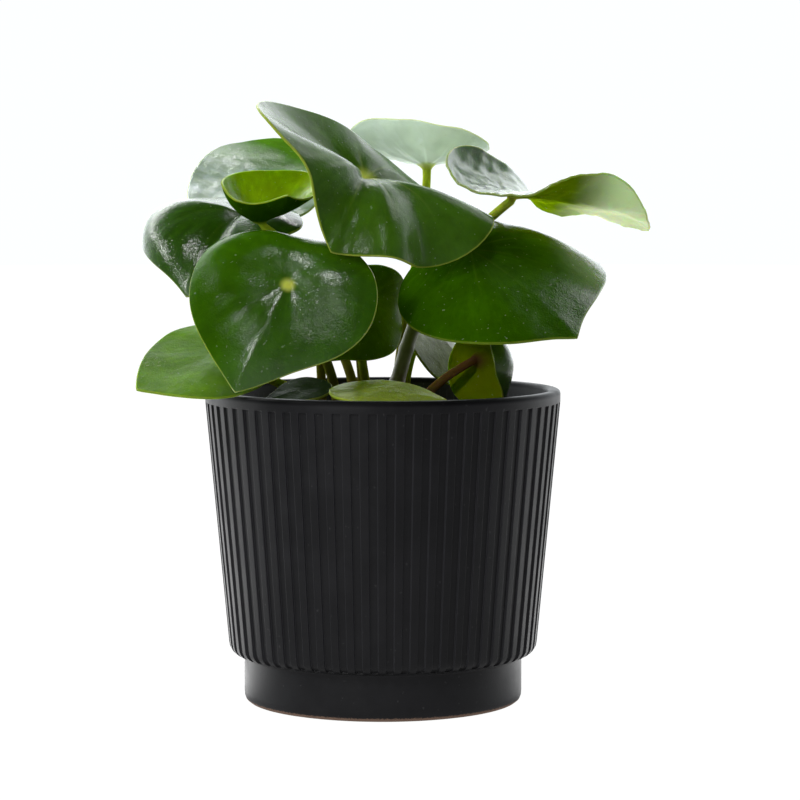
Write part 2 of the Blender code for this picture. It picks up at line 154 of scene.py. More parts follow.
def glaze_material():
    material, tree, shader = new_material("black_glaze")
    place = object_place(tree)
    x, y, height = parts_of(tree, place)
    cloud = fade(tree, speckle(tree, place, 55, 4, 0.6), 0.35, 0.7)
    grain = speckle(tree, place, 1400, 2, 0.6)
    dust = fade(tree, speckle(tree, place, 620, 1, 0.4), 0.73, 0.8, 0, 0.5)
    glaze = blend_colour(tree, cloud, DEEP_GLAZE, CLOUDED_GLAZE)
    glaze = blend_colour(tree, dust, glaze, SETTLED_DUST)
    # Painted highlight: the upright flute edges are painted lighter, standing in for light caught on them.
    glaze = blend_colour(tree, flute_edge_highlights(tree, x, y, height), glaze, PAINTED_EDGE_HIGHLIGHT)
    # Painted shade: the top of the rim is painted darker.
    glaze = blend_colour(tree, fade(tree, height, *RIM_DARKENS, 0, 0.6), glaze, PAINTED_RIM_SHADE)
    ragged = times(tree, reckon(tree, "SUBTRACT", grain, 0.5), CLAY_RAGGED)
    bare = fade(tree, plus(tree, height, ragged), *CLAY_ENDS, 1, 0)
    tree.links.new(blend_colour(tree, bare, glaze, BARE_CLAY), shader.inputs["Base Color"])
    roughness = plus(tree, fade(tree, cloud, 0, 1, 0.42, 0.5), times(tree, bare, 0.3))
    tree.links.new(roughness, shader.inputs["Roughness"])
    tree.links.new(fade(tree, height, *RIM_DARKENS, 0.22, 0.04), shader.inputs["Specular IOR Level"])
    tree.links.new(bumps(tree, grain, 0.35, 0.00006), shader.inputs["Normal"])
    return material


def start_turned(name, sides, radius, height=0.0, turn=0.0):
    """A flat disc whose rim is selected, ready to be drawn out ring by ring into a turned shape."""
    bpy.ops.object.select_all(action="DESELECT")
    bpy.ops.mesh.primitive_circle_add(vertices=sides, radius=radius, fill_type="TRIFAN",
                                      location=(0, 0, height), rotation=(0, 0, turn))
    piece = bpy.context.object
    piece.name = name
    bpy.ops.object.transform_apply(location=True, rotation=True, scale=True)
    bpy.ops.object.mode_set(mode="EDIT")
    bpy.ops.mesh.select_mode(type="EDGE")
    bpy.ops.mesh.select_all(action="DESELECT")
    bpy.ops.mesh.select_non_manifold()
    return piece


def extrude_to(ring, radius, height):
    """Extrudes the selected ring of edges to the next radius and height of the profile."""
    bpy.ops.mesh.extrude_region_move(TRANSFORM_OT_translate={"value": (0, 0, height - ring[1])})
    share = radius / ring[0]
    bpy.ops.transform.resize(value=(share, share, 1), center_override=(0, 0, 0))
    return radius, height


def close_turned():
    """Draws the last ring together in its middle and turns every face outwards."""
    bpy.ops.mesh.extrude_region_move()
    bpy.ops.mesh.merge(type="CENTER")
    bpy.ops.mesh.select_all(action="SELECT")
    bpy.ops.mesh.normals_make_consistent(inside=False)


pot = start_turned("ceramic_pot", COLUMNS, STAND_RADIUS, turn=pi / COLUMNS)
bend = [(BEND_CENTRE[0] + BEND_RADIUS * sin(turn), BEND_CENTRE[1] - BEND_RADIUS * cos(turn))
        for turn in BEND_TURNS]
ring = (STAND_RADIUS, 0.0)
for radius, height in (*FOOT_PROFILE, *bend, *RIM_PROFILE, *HOLLOW_PROFILE):
    ring = extrude_to(ring, radius, height)
close_turned()
bpy.ops.mesh.select_mode(type="FACE")
bpy.ops.mesh.select_all(action="DESELECT")
shell = bmesh.from_edit_mesh(pot.data)
for face in shell.faces:
    middle = face.calc_center_median()
    column = floor(atan2(middle.y, middle.x) / (2 * pi / COLUMNS) + 0.5)
    outside = face.normal.x * middle.x + face.normal.y * middle.y > 0
    face.select = outside and FLUTE_LOW < middle.z < FLUTE_TOP and column % 2 == 1
bmesh.update_edit_mesh(pot.data)
bpy.ops.mesh.extrude_region_shrink_fatten(TRANSFORM_OT_shrink_fatten={"value": -FLUTE_DEPTH})
bpy.ops.object.mode_set(mode="OBJECT")
soften = pot.modifiers.new("soft edges", "BEVEL")
soften.width = FLUTE_SOFT
soften.segments = 3
soften.limit_method = "ANGLE"
soften.angle_limit = SHARP_EDGE
bpy.ops.object.modifier_apply(modifier=soften.name)
bpy.ops.object.shade_smooth()
even = pot.modifiers.new("even shading", "WEIGHTED_NORMAL")
bpy.ops.object.modifier_apply(modifier=even.name)
pot.data.materials.append(glaze_material())
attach(pot, "root")
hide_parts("pot")

# Soil. Dark, crumbly potting mix that fills the pot to 15 mm under the rim, pressed down a little
# towards the wall, with loose crumbs of bark and peat lying on it.
MM = 0.001
SOIL_RADIUS = 0.0611
SOIL_HEIGHT = 0.104
SOIL_POINTS = 96
SOIL_RINGS = 22
SOIL_WALL = ((0.0544, 0.030), (0.0480, 0.019), (0.0470, 0.009), (0.0442, 0.0068))
MOUND_HEIGHT = 2.0
LUMP_HEIGHT = 2.2
LUMPS_PER_METRE = 95
LUMP_SLICE = 3.1
WALL_CALM = 0.6
CRUMBS = 420
CRUMB_SEED = 5
CRUMB_RADII = (0.5, 1.9)
CRUMB_WIDTHS = (0.5, 0.9)
CRUMB_HEIGHTS = (0.4, 0.7)
CRUMBS_OFF_WALL = 2.5
CRUMB_LIFT = 0.2
DARK_PEAT = (0.012, 0.008, 0.005)
LIGHT_PEAT = (0.05, 0.031, 0.019)
BARK_FLECKS = (0.11, 0.075, 0.045)


def soil_height(x, y):
    edge = hypot(x, y) / SOIL_RADIUS
    mound = MOUND_HEIGHT * (1 - edge ** 2)
    lumps = noise.fractal(Vector((x * LUMPS_PER_METRE, y * LUMPS_PER_METRE, LUMP_SLICE)), 0.9, 2.1, 5)
    calm = 1 - WALL_CALM * edge ** 6
    return SOIL_HEIGHT + (mound + LUMP_HEIGHT * lumps * calm) * MM


def soil_material():
    material, tree, shader = new_material("peat_and_bark")
    place = object_place(tree)
    coarse = fade(tree, speckle(tree, place, 260, 5, 0.65), 0.3, 0.7)
    fine = speckle(tree, place, 1500, 3, 0.7)
    colour = blend_colour(tree, coarse, DARK_PEAT, LIGHT_PEAT)
    colour = blend_colour(tree, fade(tree, fine, 0.62, 0.72), colour, BARK_FLECKS)
    tree.links.new(colour, shader.inputs["Base Color"])
    shader.inputs["Roughness"].default_value = 0.93
    shader.inputs["Specular IOR Level"].default_value = 0.25
    tree.links.new(bumps(tree, fine, 0.9, 0.0008), shader.inputs["Normal"])
    return material


soil = start_turned("potting_soil", SOIL_POINTS, *SOIL_WALL[-1])
ring = SOIL_WALL[-1]
for radius, height in SOIL_WALL[-2::-1]:
    ring = extrude_to(ring, radius, height)
for k in range(SOIL_RINGS):
    ring = extrude_to(ring, SOIL_RADIUS * (1 - k / SOIL_RINGS), SOIL_HEIGHT)
close_turned()
for vertex in bmesh.from_edit_mesh(soil.data).verts:
    if vertex.co.z > SOIL_HEIGHT - MM:
        vertex.co.z = soil_height(vertex.co.x, vertex.co.y)
bmesh.update_edit_mesh(soil.data)
bpy.ops.object.mode_set(mode="OBJECT")
scatter = random.Random(CRUMB_SEED)
crumbs = []
for k in range(CRUMBS):
    bpy.ops.object.select_all(action="DESELECT")
    reach = (SOIL_RADIUS - CRUMBS_OFF_WALL * MM) * scatter.random() ** 0.5
    turn = 2 * pi * scatter.random()
    x, y = reach * cos(turn), reach * sin(turn)
    size = scatter.uniform(*CRUMB_RADII) * MM
    bpy.ops.mesh.primitive_ico_sphere_add(subdivisions=1, radius=size,
                                          location=(x, y, soil_height(x, y) + CRUMB_LIFT * size),
                                          rotation=[scatter.uniform(0, pi) for _ in range(3)],
                                          scale=(1, scatter.uniform(*CRUMB_WIDTHS),
                                                 scatter.uniform(*CRUMB_HEIGHTS)))
    crumbs.append(bpy.context.object)
for crumb in crumbs:
    crumb.select_set(True)
soil.select_set(True)
bpy.context.view_layer.objects.active = soil
bpy.ops.object.join()
bpy.ops.object.shade_smooth_by_angle(angle=radians(50))
soil.data.materials.append(soil_material())
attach(soil, "root")
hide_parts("soil")

# Main stem. Short and fleshy, green with brown bark low down, ringed by the scars of old leaf stalks.
# It grows out of the soil and leans to the right, and carries two of the leaves.
STEM_ROUTE = ((1, 0, 97), (1, 0, 107), (5, 1, 120), (10, 6, 137), (15, 12, 150))
STEM_RADII = (3.0, 2.6)
STEM_SIDES = 28
STEM_ROWS = 60
SCARS = (0.36, 0.52, 0.7, 0.86)
SCAR_HEIGHT = 0.35
SCAR_SPREAD = 0.018
STEM_TOP_SHARE = 0.72
STEM_TOP_ROUND = 18
BARK_FADES = (0.118, 0.145)
DEEP_GREEN = (0.07, 0.085, 0.022)
FRESH_GREEN = (0.13, 0.14, 0.04)
STEM_BARK = (0.085, 0.045, 0.02)


def along_route(route, share):
    """Point at a share of a smooth curve through the route's points."""
    points = [Vector(p) for p in route]
    points = [points[0] * 2 - points[1]] + points + [points[-1] * 2 - points[-2]]
    place = share * (len(route) - 1)
    k = min(int(place), len(route) - 2)
    t = place - k
    a, b, c, d = points[k:k + 4]
    return b + (c - a + (2 * a - 5 * b + 4 * c - d + (3 * (b - c) + d - a) * t) * t) * (0.5 * t)


def carried_frames(path, across):
    """Two crosswise directions at each point of a path, carried along it without twist."""
    frames = []
    for k in range(len(path)):
        along = (path[min(k + 1, len(path) - 1)] - path[max(k - 1, 0)]).normalized()
        across = (across - along * across.dot(along)).normalized()
        frames.append((across, along.cross(across)))
    return frames


def roll_sheet(name, rows):
    """Rolls a flat grid into a closed skin: one row of points after another, the first and last a tip."""
    columns = rows.shape[1]
    bpy.ops.object.select_all(action="DESELECT")
    bpy.ops.mesh.primitive_grid_add(x_subdivisions=columns, y_subdivisions=len(rows) - 1, size=1)
    skin = bpy.context.object
    skin.name = name
    flat = np.empty(len(skin.data.vertices) * 3, dtype=np.float32)
    skin.data.vertices.foreach_get("co", flat)
    flat = flat.reshape(-1, 3)
    column = np.rint((flat[:, 0] + 0.5) * columns).astype(int) % columns
    row = np.rint((flat[:, 1] + 0.5) * (len(rows) - 1)).astype(int)
    skin.data.vertices.foreach_set("co", rows[row, column].astype(np.float32).ravel())
    skin.data.update()
    return skin, row, column


def close_skin():
    """Joins the two long edges and the tips of the rolled sheet that was made last."""
    bpy.ops.object.mode_set(mode="EDIT")
    bpy.ops.mesh.select_all(action="SELECT")
    bpy.ops.mesh.remove_doubles(threshold=1e-7)
    bpy.ops.mesh.normals_make_consistent(inside=False)
    bpy.ops.object.mode_set(mode="OBJECT")
    bpy.ops.object.shade_smooth()


def stem_material():
    material, tree, shader = new_material("fleshy_stem")
    place = object_place(tree)
    height = parts_of(tree, place)[2]
    patch = speckle(tree, place, 190, 4, 0.6)
    bark = fade(tree, plus(tree, height, times(tree, patch, 0.02)), *BARK_FADES, 1, 0)
    green = blend_colour(tree, patch, DEEP_GREEN, FRESH_GREEN)
    tree.links.new(blend_colour(tree, bark, green, STEM_BARK), shader.inputs["Base Color"])
    shader.inputs["Roughness"].default_value = 0.5
    tree.links.new(bumps(tree, speckle(tree, place, 700, 3, 0.6), 0.5, 0.0002), shader.inputs["Normal"])
    return material


path = [along_route(STEM_ROUTE, k / (STEM_ROWS - 1)) * MM for k in range(STEM_ROWS)]
turns = [2 * pi * k / STEM_SIDES for k in range(STEM_SIDES)]
stem_rows = []
for k, (place, (across, other)) in enumerate(zip(path, carried_frames(path, Vector((1, 0, 0))))):
    share = k / (STEM_ROWS - 1)
    radius = STEM_RADII[0] + (STEM_RADII[1] - STEM_RADII[0]) * share
    radius += sum(SCAR_HEIGHT * np.exp(-((share - scar) / SCAR_SPREAD) ** 2) for scar in SCARS)
    radius *= min(1, (1 - share) * STEM_TOP_ROUND + STEM_TOP_SHARE)
    stem_rows.append([place + (across * cos(turn) + other * sin(turn)) * radius * MM for turn in turns])
stem_rows = [[path[0]] * STEM_SIDES] + stem_rows + [[path[-1]] * STEM_SIDES]
stem = roll_sheet("main_stem", np.array(stem_rows))[0]
close_skin()
stem.data.materials.append(stem_material())
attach(stem, "root")
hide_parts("stem")

# Leaves. Thick, glossy, drip-tipped blades, each carried on a round stalk that joins its underside a
# little behind the middle, with faint veins that fan out from there and a thin pale margin.
# Two grow from the main stem. The stalks of the others rise out of the soil.
BLADE_THICK = 1.0
SPOKES = 112
SPOKE_CROWDING = 0.45
BLADE_ROWS = 34
ROW_CROWDING = 1.15
BEND_STEPS = 240
MARGIN_TURNS = (25, 55, 90, 125, 155)
HUB_SHIFT = 0.24
HUB_SWELL = 0.5
HUB_SPREAD = 0.15
DRIP_LENGTH = 9
DRIP_POINT = 0.16
DRIP_SHOULDER = 0.5
STALK_ROWS = 26
EASE_AT_HUB = 0.3
EASE_AT_FOOT = 0.35
COLLAR = 1.2
FLARE_START = 0.4
FLARE_WIDTH = 2.4
FLARE_DEPTH = 2.2
FLARE_ROWS = 5
SOIL_LINE = 104.0
HOLE_DEPTH = 8.0
CLEAR_OF_SOIL = 3.0
GAP = 0.3
INTO_STEM = 1.5
GAPS_ON_TOP = 1.7
BRANCH_SHARE = 0.45
BRANCH_ASIDE = (0.9, -0.4, 0)
BRANCH_RISE = 0.6
VEINS = 9
VEIN_BEND = 0.3
VEIN_GROOVE = 0.4
VEIN_WIDTH = 0.9
SWELL_HEIGHT = 0.1
SWELL_BESIDE_VEINS = 0.5
SWELL_WIDTH = 3.5
WAVE_HEIGHT = 0.5
FULL_GROWN = 42
PHASE_STEP = 1.7

# hub: where the stalk joins the blade. foot: where it leaves the soil, or None on the stem. Both in mm.
# tip, up: where the drip tip and the upper face point at the hub. arrive: the stalk's way into the hub.
# length, width: of the plain oval with a drip tip, in mm. drip: how far the tip is drawn out, in mm.
# hub_shift: how far the middle of the oval lies ahead of the hub, as a share of half its length.
# reach, dish, curls and power stand round the hub, counter-clockwise from the tip as seen from above it.
# reach: how far that side reaches, as a share of the oval. dish: how steeply it leaves the hub, in degrees.
# curls: how far it bends up (+) or down (-), in degrees. power: above 1 the bend sits near the margin.
# stalk: radius at the foot and at the hub, in mm.
LEAVES = {
    "leaf_a": dict(hub=(-7, -26, 198.5), tip=(-0.2, -0.85, -0.45), up=(0.32, -0.5, 0.8), length=78, width=101,
                   reach=(0.88, 1.05, 0.98, 1.07, 1.12, 1.04, 0.96, 1.05, 1.1, 0.98, 0.9, 0.82),
                   dish=(45, 45, 45, 30, 5, 15, 20, 15, 5, 10, 45, 60),
                   curls=(-62, -38, -62, -10, -30, -30, -17, 0, 15, 25, 16, -5),
                   foot=(-7, 2), stalk=(2.2, 1.7)),
    "leaf_b": dict(hub=(17, 35, 205), tip=(-0.3, 0.95, 0), up=(0, 0.12, 0.99), length=64, width=63,
                   reach=(1, 1, 1, 1, 1, 1, 1, 1, 0.95, 0.86, 0.87, 0.95), dish=8,
                   curls=(20, 25, 35, 60, 72, 84, 74, 62, 35, 25, 20, 18),
                   foot=(5, 9), stalk=(2.0, 1.6)),
    "leaf_c": dict(hub=(-33, -55, 162), tip=(-0.44, -0.26, -0.86), up=(-0.05, -0.9, 0.3), length=69, width=73,
                   reach=(1.02, 0.87, 0.87, 0.96, 1.07, 1.12, 1.1, 1.09, 1.07, 1.05, 1.02, 1.02),
                   dish=(22, 14, 12, 16, 20, 20, 20, 20, 20, 20, 20, 22),
                   curls=(-24, -20, -19, -18, -22, -45, -78, -104, -107, -67, -44, -26),
                   power=(1, 1, 1, 1, 1, 1, 1.5, 2, 3, 3, 3, 1),
                   foot=(-16.5, -10), arrive=(0.1, -0.9, 0.2), stalk=(1.9, 1.6)),
    "leaf_d": dict(hub=(-52.8, -8, 185), tip=(-0.48, -0.57, -0.66), up=(-0.38, -0.45, 0.81), length=70,
                   width=76,
                   reach=(0.97, 0.95, 0.6, 0.74, 0.75, 0.85, 1, 1.04, 1.04, 1, 1.1, 1.12),
                   dish=(30, 20, 10, 5, 5, 5, 5, 5, 20, 45, 60, 50),
                   curls=(-36, -23, -25, -27, -47, -67, -69, -59, -39, -49, -68, -60),
                   power=(1, 1, 1, 1, 1, 1, 1, 1, 1.5, 3, 6, 5),
                   foot=(-17, -1), stalk=(1.9, 1.5)),
    "leaf_e": dict(hub=(-46.8, 52, 197), tip=(-0.63, -0.7, -0.33), up=(0.1, -0.5, 0.86), length=77, width=67,
                   hub_shift=0.1,
                   reach=(0.99, 1.03, 0.95, 0.84, 0.82, 0.95, 1.2, 1.3, 1.12, 0.88, 0.78, 0.84),
                   dish=10, curls=(11, 5, 7, 11, 10, 1, -13, -11, -10, 0, 11, 15),
                   foot=(-10, 10), stalk=(1.9, 1.5)),
    "leaf_f": dict(hub=(-45.8, -29, 184), tip=(0.7, -0.7, 0), up=(0, -0.3, 0.95), length=47, width=44,
                   hub_shift=0, drip=4,
                   reach=(0.9, 1, 1.15, 1.4, 1.25, 1.25, 1.15, 0.95, 0.72, 0.62, 0.62, 0.72), dish=10,
                   curls=(72, 50, 36, 36, 48, 55, 65, 80, 82, 82, 84, 80),
                   foot=(-23, -4.5), stalk=(1.8, 1.5), arrive=(-0.9, 0.1, 0.45)),
    "leaf_g": dict(hub=(50.3, 10, 193), tip=(0.96, 0.1, -0.17), up=(0.2, 0, 1), length=86, width=60,
                   reach=(1.04, 0.98, 1.05, 0.95, 0.92, 1, 1.05, 1, 1, 1, 1.02, 1.12),
                   curls=(-45, -10, -25, 60, 100, 110, 60, 0, -20, 0, 50, 35), dish=5,
                   power=(7, 2, 2, 2, 2, 2, 2, 2, 2, 2, 2, 2),
                   foot=None, arrive=(0.5, -0.8, 0.4), stalk=(1.9, 1.7), drip=6),
    "leaf_h": dict(hub=(33, -16, 172), tip=(0.65, -0.45, -0.62), up=(0.05, -0.6, 0.75), length=88, width=84,
                   reach=(0.93, 1.03, 1.22, 1.24, 1.1, 0.88, 0.86, 0.88, 0.95, 0.95, 1, 1.06),
                   dish=10,
                   curls=(-13, -19, -37, -49, -53, -70, -85, -79, -67, -49, -25, -7),
                   foot=None, stalk=(2.1, 1.8), drip=13),
    "leaf_i": dict(hub=(-56, -18, 136), tip=(-0.68, -0.6, -0.42), up=(-0.2, -0.4, 0.9), length=66, width=66,
                   reach=(1.1, 1.13, 0.82, 0.67, 0.7, 0.78, 0.87, 1, 0.98, 0.83, 0.81, 0.92), dish=10,
                   curls=(9, -2, -30, -60, -70, -72, -68, -46, -15, 5, 14, 18),
                   foot=(-24, -12), stalk=(1.9, 1.6)),
    "leaf_j": dict(hub=(-7, -14, 153), tip=(-0.6, -0.1, -0.8), up=(0.45, -0.85, 0.25), length=44, width=43,
                   reach=(0.97, 1, 1, 1.05, 1.25, 1.6, 1.25, 0.95, 0.95, 0.9, 0.82, 0.9), dish=10,
                   curls=(5, -5, -9, -30, -44, -28, 0, 10, 0, -20, -10, 0),
                   foot=(-5, -11), stalk=(1.8, 1.5), arrive=(0.3, -0.6, 0.7)),
    "leaf_k": dict(hub=(17, 34, 141), tip=(0.75, -0.1, -0.65), up=(0.5, -0.4, 0.75), length=46, width=36,
                   reach=(1, 1, 1, 1, 1, 1, 1, 1, 1.1, 1.25, 1.25, 1.1),
                   curls=(-40, -30, 0, 0, 0, 0, 0, -30), dish=5, hub_shift=0.4,
                   foot=(8, 17), stalk=(1.8, 1.5)),
    "leaf_l": dict(hub=(36, -8, 131), tip=(0.6, 0.25, -0.7), up=(0.5, 0.8, 0.2), length=40, width=46,
                   reach=(1, 1, 0.8, 0.65, 0.7, 0.8, 0.9, 1, 1.2, 1.35, 1.4, 1.25),
                   curls=(-40, -20, -20, -20, -20, -20, -20, -40, -90, -140, -150, -100), dish=5, power=2,
                   foot=(12, -12), stalk=(1.8, 1.5)),
    "leaf_m": dict(hub=(-6, -46, 121), tip=(0.95, -0.1, -0.25), up=(0, -0.2, 0.95), length=44, width=30,
                   curls=(-10, 0, 0, 0, 0, 0, 0, -10), dish=5,
                   foot=(-2, -24), stalk=(1.6, 1.3)),
    "leaf_n": dict(hub=(-27, -32, 121.5), tip=(-0.8, -0.3, -0.3), up=(-0.1, -0.3, 0.95), length=30, width=24,
                   curls=(-10, 0, 0, 0, 0, 0, 0, -10), dish=5,
                   foot=(-17, -20), stalk=(1.5, 1.2)),
}

# top, under, foot, stalk: colours of the upper face, the underside, the stalk's foot and the stalk, as
# linear red, green and blue. spot, veins: how strongly the pale hub and the veins show. spot_at, wide: how
# far towards the tip the hub spot lies and how far it spreads, in mm. crinkle: about how high the small
# hills are, in mm. edge: how clearly the thin margin shows. backlit_tip: how pale the underside is painted
# at the tip, as light through the leaf. sheen_paint: bluish-grey sheen painted into the colour. gloss: how
# strongly the skin reflects. dull_side: how much gloss is missing on the clockwise side of the tip.
# clear_end: how much painted sheen and gloss is missing at the end away from the tip. flesh: how much light
# the leaf lets through. depth: how far it spreads, in mm, for red, green and blue.
DARK = dict(top=(0.03, 0.095, 0.0006), under=(0.1, 0.17, 0.004), foot=(0.11, 0.085, 0.02), spot=0, spot_at=0,
            wide=4.6, crinkle=0.035, dull_side=0, clear_end=0, edge=0.55, backlit_tip=0, stalk=(0.3, 0.4, 0.02),
            veins=0.08, sheen_paint=0, flesh=0.5, depth=(1.2, 2.0, 0.2), gloss=0.25)
PALE = dict(DARK, top=(0.1, 0.17, 0.02), under=(0.16, 0.24, 0.03), veins=0.04, sheen_paint=0.1, flesh=0.8)
LOOKS = {
    "leaf_a": dict(DARK, top=(0.03, 0.083, 0.0008), spot=1, spot_at=1.5, wide=9, edge=0.85, veins=0.45,
                   sheen_paint=0.02, gloss=0.15),
    # leaf_b: both faces are painted pale and bluish, standing in for sheen and light through the leaf.
    "leaf_b": dict(PALE, top=(0.16, 0.27, 0.13), under=(0.38, 0.45, 0.41), spot=0.7, veins=0.6, sheen_paint=0.3,
                   flesh=1, crinkle=0.3, depth=(3.4, 3.4, 2.9)),
    "leaf_c": dict(DARK, top=(0.024, 0.078, 0.0005), spot=1, spot_at=2.3, wide=3.8, edge=0.85, veins=0.05,
                   dull_side=0.93, gloss=0.65),
    "leaf_d": dict(DARK, top=(0.018, 0.06, 0.001), gloss=0.55),
    "leaf_e": dict(PALE, top=(0.045, 0.125, 0.006), sheen_paint=0.85, clear_end=1, flesh=0.4, crinkle=0.08,
                   gloss=0.45),
    # leaf_f: the upper face inside the cup is painted bright as light through the leaf, and the underside
    # dark as shade.
    "leaf_f": dict(DARK, top=(0.17, 0.28, 0.001), under=(0.012, 0.045, 0.0002), veins=0.2, flesh=0.8,
                   gloss=0.15),
    # leaf_g: the upper face is painted pale and bluish as sheen.
    "leaf_g": dict(DARK, top=(0.09, 0.15, 0.07), under=(0.1, 0.17, 0.0006), veins=0.3, flesh=0.7,
                   gloss=1, crinkle=0.35, backlit_tip=0.95, stalk=(0.42, 0.5, 0.05)),
    "leaf_h": dict(DARK, top=(0.02, 0.066, 0.0003), dull_side=1, gloss=0.35, edge=0.35),
    "leaf_i": dict(PALE, top=(0.068, 0.15, 0.0005), veins=0, clear_end=1, gloss=0.03),
    "leaf_j": dict(DARK, top=(0.06, 0.115, 0.0004), flesh=0.8, gloss=0.02),
    "leaf_k": dict(DARK, top=(0.055, 0.075, 0.004), veins=0.1, gloss=0.1),
    "leaf_l": dict(DARK, top=(0.03, 0.06, 0.01), under=(0.15, 0.19, 0.001), flesh=0.8, gloss=0.4,
                   stalk=(0.16, 0.07, 0.03)),
    "leaf_m": dict(PALE, top=(0.15, 0.2, 0.02), veins=0, sheen_paint=0, gloss=0.01),
    "leaf_n": dict(DARK, top=(0.012, 0.022, 0.007), veins=0, flesh=0.2, gloss=0.003),
}
VEIN_GREEN = (0.16, 0.22, 0.03)
HUB_GREEN = (0.55, 0.62, 0.1)
MARGIN_GREEN = (0.28, 0.31, 0.04)
BACKLIT_TIP_GREEN = (0.66, 0.72, 0.46)
PAINTED_SHEEN_GREY = (0.42, 0.5, 0.46)
LEAF_DUST = (0.35, 0.4, 0.3)
STALK_FLECKS = (0.12, 0.06, 0.02)


def at_compass(values, angle):
    """Smooth reading between values that stand evenly round a circle. A single value holds all round."""
    values = np.array(np.atleast_1d(values), float)
    place = (angle / (2 * pi)) % 1 * len(values)
    first = np.floor(place).astype(int)
    t = place - first
    a, b, c, d = (values[(first + k) % len(values)] for k in (-1, 0, 1, 2))
    return b + 0.5 * t * (c - a + t * (2 * a - 5 * b + 4 * c - d + t * (3 * (b - c) + d - a)))


def outline(leaf, angle):
    """Distance in mm from the hub to the margin: an oval ahead of the hub with a short drip tip."""
    half_length = (leaf["length"] - DRIP_LENGTH) / 2
    half_width = leaf["width"] / 2
    ahead = half_length * leaf.get("hub_shift", HUB_SHIFT)
    c, s = np.cos(angle), np.sin(angle)
    square = (c / half_length) ** 2 + (s / half_width) ** 2
    slant = -2 * ahead * c / half_length ** 2
    rest = (ahead / half_length) ** 2 - 1
    oval = (-slant + np.sqrt(slant * slant - 4 * square * rest)) / (2 * square)
    off_tip = abs((angle + pi) % (2 * pi) - pi)
    point = 0.62 * np.exp(-(off_tip / DRIP_POINT) ** 1.2)
    shoulders = 0.38 * np.exp(-(off_tip / DRIP_SHOULDER) ** 2)
    drip = leaf.get("drip", DRIP_LENGTH) * (point + shoulders)
    return oval * at_compass(leaf.get("reach", 1), angle) + drip


def unit(v):
    return v / np.linalg.norm(v, axis=-1, keepdims=True)


def leaf_axes(leaf):
    up = unit(np.array(leaf["up"], float))
    tip = np.array(leaf["tip"], float)
    tip = unit(tip - up * tip.dot(up))
    return tip, np.cross(up, tip), up


def spoke_ways(leaf, angle):
    """The way from the hub along each spoke of the blade, before it curves."""
    tip, side, _ = leaf_axes(leaf)
    return np.cos(angle)[:, None] * tip + np.sin(angle)[:, None] * side


def curved_sheet(leaf, angle, shares, reach):
    """Points of the plain curved blade, rows from the hub out to the margin, in mm."""
    middle = (np.arange(BEND_STEPS) + 0.5) / BEND_STEPS
    marks = np.linspace(0, 1, BEND_STEPS + 1)
    tilt = np.radians(at_compass(leaf["dish"], angle)) * (1 - middle[:, None]) ** 2
    curl = np.radians(at_compass(leaf["curls"], angle))
    tilt = tilt + curl * middle[:, None] ** at_compass(leaf.get("power", 1), angle)

    def walked(steps):
        """How far each spoke has come at the shares after all the steps up to there."""
        ways = np.vstack([np.zeros(len(angle)), np.cumsum(steps, axis=0)]) * reach / BEND_STEPS
        return np.array([np.interp(shares, marks, ways[:, j]) for j in range(len(angle))]).T

    out = spoke_ways(leaf, angle)[None] * walked(np.cos(tilt))[..., None]
    rise = leaf_axes(leaf)[2] * walked(np.sin(tilt))[..., None]
    return np.array(leaf["hub"], float) + out + rise


def relief(look, angle, shares, reach, phase):
    """Height in mm of the upper face over the plain sheet: vein grooves, swells, wavy margin, small hills."""
    far = shares[:, None]
    run = far * reach
    bent = angle[None] + VEIN_BEND * far * np.sin(angle)[None]
    off_vein = abs(np.sin(VEINS * bent / 2)) * 2 * run / VEINS
    size = min(1, reach.mean() / FULL_GROWN)
    groove = -VEIN_GROOVE * look["veins"] * np.exp(-(off_vein / VEIN_WIDTH) ** 2)
    groove = groove * np.clip(1 - far, 0, 1) * np.minimum(1, run / 3)
    swell = (SWELL_HEIGHT + SWELL_BESIDE_VEINS * look["veins"]) * (1 - np.exp(-(off_vein / SWELL_WIDTH) ** 2))
    swell = swell * far * (1 - far) * 4 * size
    wave = np.sin(4 * angle + phase) + 0.6 * np.sin(7 * angle + 2.1 * phase)
    wave = WAVE_HEIGHT * size ** 2 * far ** 3 * wave
    u, v = run * np.cos(angle), run * np.sin(angle)
    # Broad hills with a finer, slanting set over them, both rising from nothing at the hub.
    hills = np.sin(0.5 * u + phase) * np.sin(0.43 * v + 2 * phase)
    hills = hills + 0.6 * np.sin(0.95 * u - 0.4 * v + 3 * phase) * np.sin(0.5 * u + 0.8 * v + phase)
    hills = hills * look["crinkle"] * np.minimum(1, far * 3)
    return groove + swell + wave + hills


def blade_face(leaf, look, angle, shares, reach, phase):
    """Points of the upper face, with the way it faces and the way out to the margin at each."""
    points = curved_sheet(leaf, angle, shares, reach)
    around = np.roll(points, -1, axis=1) - np.roll(points, 1, axis=1)
    facing = np.cross(np.gradient(points, axis=0), around)
    facing[0] = leaf_axes(leaf)[2]
    facing = unit(facing)
    points = points + facing * relief(look, angle, shares, reach, phase)[..., None]
    return points, facing, unit(np.gradient(points, axis=0))


